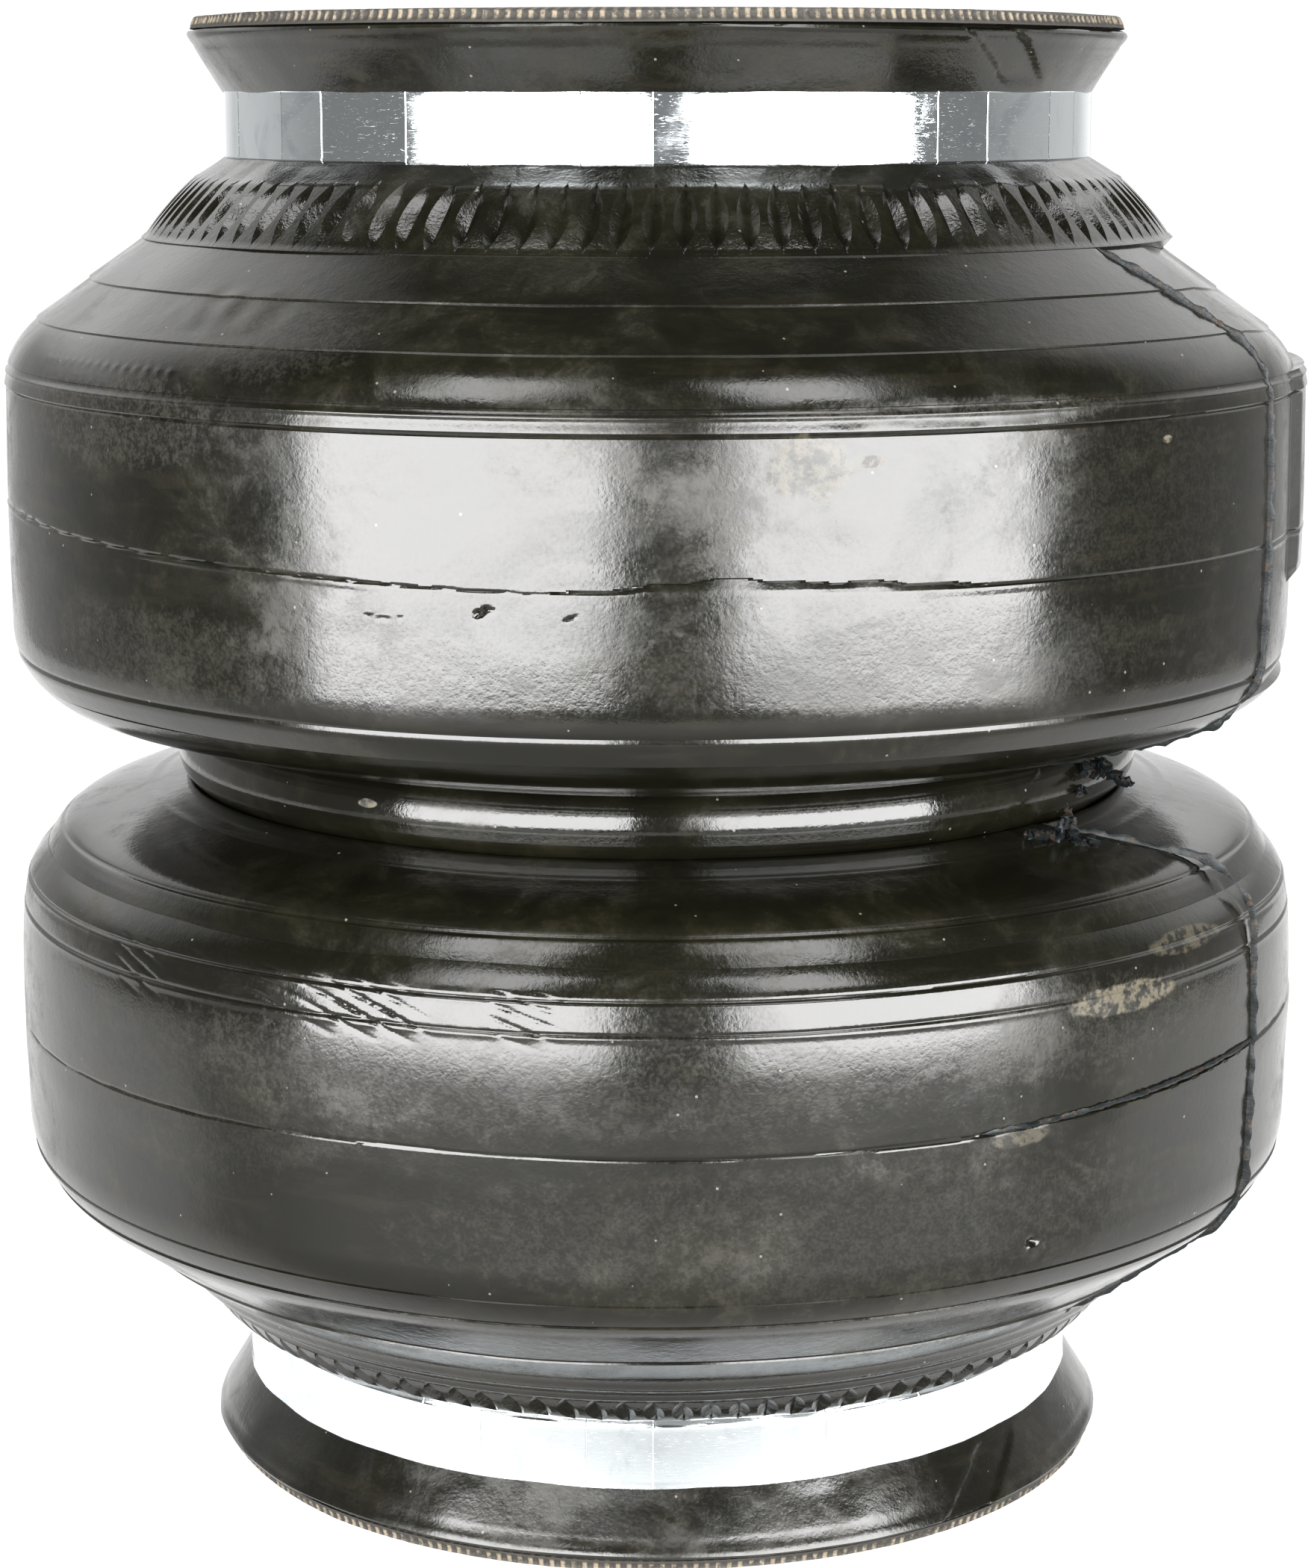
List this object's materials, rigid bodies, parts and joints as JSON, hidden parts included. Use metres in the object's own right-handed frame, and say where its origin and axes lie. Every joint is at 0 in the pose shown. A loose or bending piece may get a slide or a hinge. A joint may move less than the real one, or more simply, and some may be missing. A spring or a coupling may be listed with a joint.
{
  "type": "air spring bellows",
  "caption": "Double-convoluted rubber air spring with crimped metal end bands, capped ends, bolt inserts and an air port; it compresses, stretches and tilts at its waist.",
  "frame": {"origin": "centre of the lower end face, where the spring stands", "axes": "+Z along the spring's axis towards the upper end; X through the two bolt inserts of each end"},
  "size_m": [0.1648, 0.1648, 0.183],
  "materials": {
    "cover_rubber": "semi-gloss moulded black rubber",
    "carcass_rubber": "cut rubber with cord ends",
    "band_metal": "bright crimped band",
    "hoop_steel": "plain wire",
    "cap_nylon": "glass-filled moulding",
    "insert_brass": "turned"
  },
  "bodies": {
    "lower_end": {"lower_band": "band_metal", "lower_cap": "cap_nylon", "lower_insert_left": "insert_brass", "lower_insert_right": "insert_brass", "lower_neck_cover": "cover_rubber", "lower_crown_cover": "cover_rubber", "lower_neck_carcass": "carcass_rubber", "lower_crown_carcass": "carcass_rubber"},
    "lower_flank": {"lower_flank_cover": "cover_rubber", "lower_flank_carcass": "carcass_rubber"},
    "girdle": {"girdle_cover": "cover_rubber", "girdle_hoop": "hoop_steel", "girdle_carcass": "carcass_rubber"},
    "upper_flank": {"upper_flank_cover": "cover_rubber", "upper_flank_carcass": "carcass_rubber"},
    "upper_end": {"upper_neck_cover": "cover_rubber", "upper_crown_cover": "cover_rubber", "upper_neck_carcass": "carcass_rubber", "upper_crown_carcass": "carcass_rubber", "upper_band": "band_metal", "upper_cap": "cap_nylon", "upper_insert_left": "insert_brass", "upper_insert_right": "insert_brass", "air_port_insert": "insert_brass"}
  },
  "joints": [
    {"name": "lower_stroke", "type": "slide", "parent": "lower_end", "child": "lower_flank", "axis": [0, 0, 1], "range_m": [-0.034, 0.008], "stiffness_N_per_m": 6000, "springref_m": 0.001, "deforming": ["lower_crown_cover", "lower_crown_carcass"]},
    {"name": "tilt_x", "type": "hinge", "parent": "lower_flank", "child": "girdle", "pos_m": [0, 0, 0.0915], "axis": [1, 0, 0], "range_deg": [-7, 7], "stiffness_Nm_per_rad": 25, "deforming": ["lower_flank_cover", "lower_flank_carcass"]},
    {"name": "tilt_y", "type": "hinge", "parent": "girdle", "child": "upper_flank", "pos_m": [0, 0, 0.0915], "axis": [0, 1, 0], "range_deg": [-7, 7], "stiffness_Nm_per_rad": 25, "deforming": ["upper_flank_cover", "upper_flank_carcass"]},
    {"name": "upper_stroke", "type": "slide", "parent": "upper_flank", "child": "upper_end", "axis": [0, 0, 1], "range_m": [-0.034, 0.008], "stiffness_N_per_m": 6000, "springref_m": 0.0007, "deforming": ["upper_crown_cover", "upper_crown_carcass"]}
  ],
  "couplings": [
    {"joint": "upper_stroke", "follows": "lower_stroke", "ratio": 1}
  ]
}
